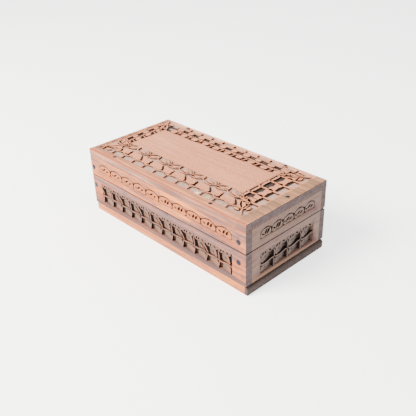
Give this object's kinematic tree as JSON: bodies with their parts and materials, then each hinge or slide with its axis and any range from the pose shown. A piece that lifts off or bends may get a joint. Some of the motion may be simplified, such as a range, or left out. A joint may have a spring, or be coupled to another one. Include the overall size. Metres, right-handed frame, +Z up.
{
  "type": "wooden puzzle box",
  "caption": "Carved oblong wooden box with a hidden lock: a sliding base lets the end panel drop to bare the keyhole, and the lid turns on hinges.",
  "frame": {"origin": "on the base board's underside, under the middle of the closed box's body", "axes": "+X along the long side towards the end with the dropping panel, -Y to the front, +Z up through the lid"},
  "size_m": [0.2048, 0.099, 0.0654],
  "materials": {
    "lid_wood": "light hardwood, thin worn varnish, carved in relief",
    "long_board_wood": "light hardwood, thin worn varnish, carved in relief",
    "end_wood": "greyer hardwood, thin varnish, carved in relief",
    "base_wood": "light hardwood, thin varnish on the edges",
    "inside_wood": "bare sawn and planed hardwood",
    "nail_iron": "dark blued iron, hammered",
    "brass": "dull pressed brass",
    "steel": "drawn and filed steel"
  },
  "bodies": {
    "body": {"body_front_board": "long_board_wood", "body_back_board": "long_board_wood", "body_left_end_board": "end_wood", "lock_wall": "inside_wood", "floor_board": "inside_wood", "front_base_runner": "inside_wood", "rear_base_runner": "inside_wood", "base_stop_pin": "steel", "panel_stop_pin": "steel", "lock_case": "brass", "bolt_spring": "steel", "lock_screw_front": "brass", "lock_screw_rear": "brass", "left_hinge_body_leaf": "brass", "right_hinge_body_leaf": "brass", "left_hinge_pin": "steel", "right_hinge_pin": "steel", "left_hinge_body_screw_a": "brass", "left_hinge_body_screw_b": "brass", "right_hinge_body_screw_a": "brass", "right_hinge_body_screw_b": "brass", "body_front_left_nail": "nail_iron", "body_front_right_nail": "nail_iron", "body_rear_left_nail": "nail_iron", "body_rear_right_nail": "nail_iron"},
    "lid": {"lid_top_board": "lid_wood", "lid_front_board": "long_board_wood", "lid_back_board": "long_board_wood", "lid_left_end_board": "end_wood", "lid_right_end_board": "end_wood", "lid_staple": "brass", "staple_screw_front": "brass", "staple_screw_rear": "brass", "left_hinge_lid_leaf": "brass", "right_hinge_lid_leaf": "brass", "left_hinge_lid_screw_a": "brass", "left_hinge_lid_screw_b": "brass", "right_hinge_lid_screw_a": "brass", "right_hinge_lid_screw_b": "brass", "lid_front_left_nail": "nail_iron", "lid_front_right_nail": "nail_iron", "lid_rear_left_nail": "nail_iron", "lid_rear_right_nail": "nail_iron", "top_front_left_nail": "nail_iron", "top_front_right_nail": "nail_iron", "top_rear_left_nail": "nail_iron", "top_rear_right_nail": "nail_iron", "top_right_end_nail": "nail_iron"},
    "base": {"base_board": "base_wood", "key": "steel"},
    "end_panel": {"end_panel": "end_wood"},
    "bolt": {"lock_bolt": "steel"}
  },
  "joints": [
    {"name": "lid_hinge", "type": "hinge", "parent": "body", "child": "lid", "pos_m": [0, 0.0482, 0.0384], "axis": [-1, 0, 0], "range_deg": [0, 105]},
    {"name": "base_slide", "type": "slide", "parent": "body", "child": "base", "axis": [-1, 0, 0], "range_m": [0, 0.018]},
    {"name": "panel_drop", "type": "slide", "parent": "body", "child": "end_panel", "axis": [0, 0, -1], "range_m": [0, 0.018]},
    {"name": "bolt_slide", "type": "slide", "parent": "body", "child": "bolt", "axis": [0, 1, 0], "range_m": [0, 0.0053]}
  ],
  "couplings": [
    {"joint": "panel_drop", "follows": "base_slide", "ratio": 1}
  ]
}
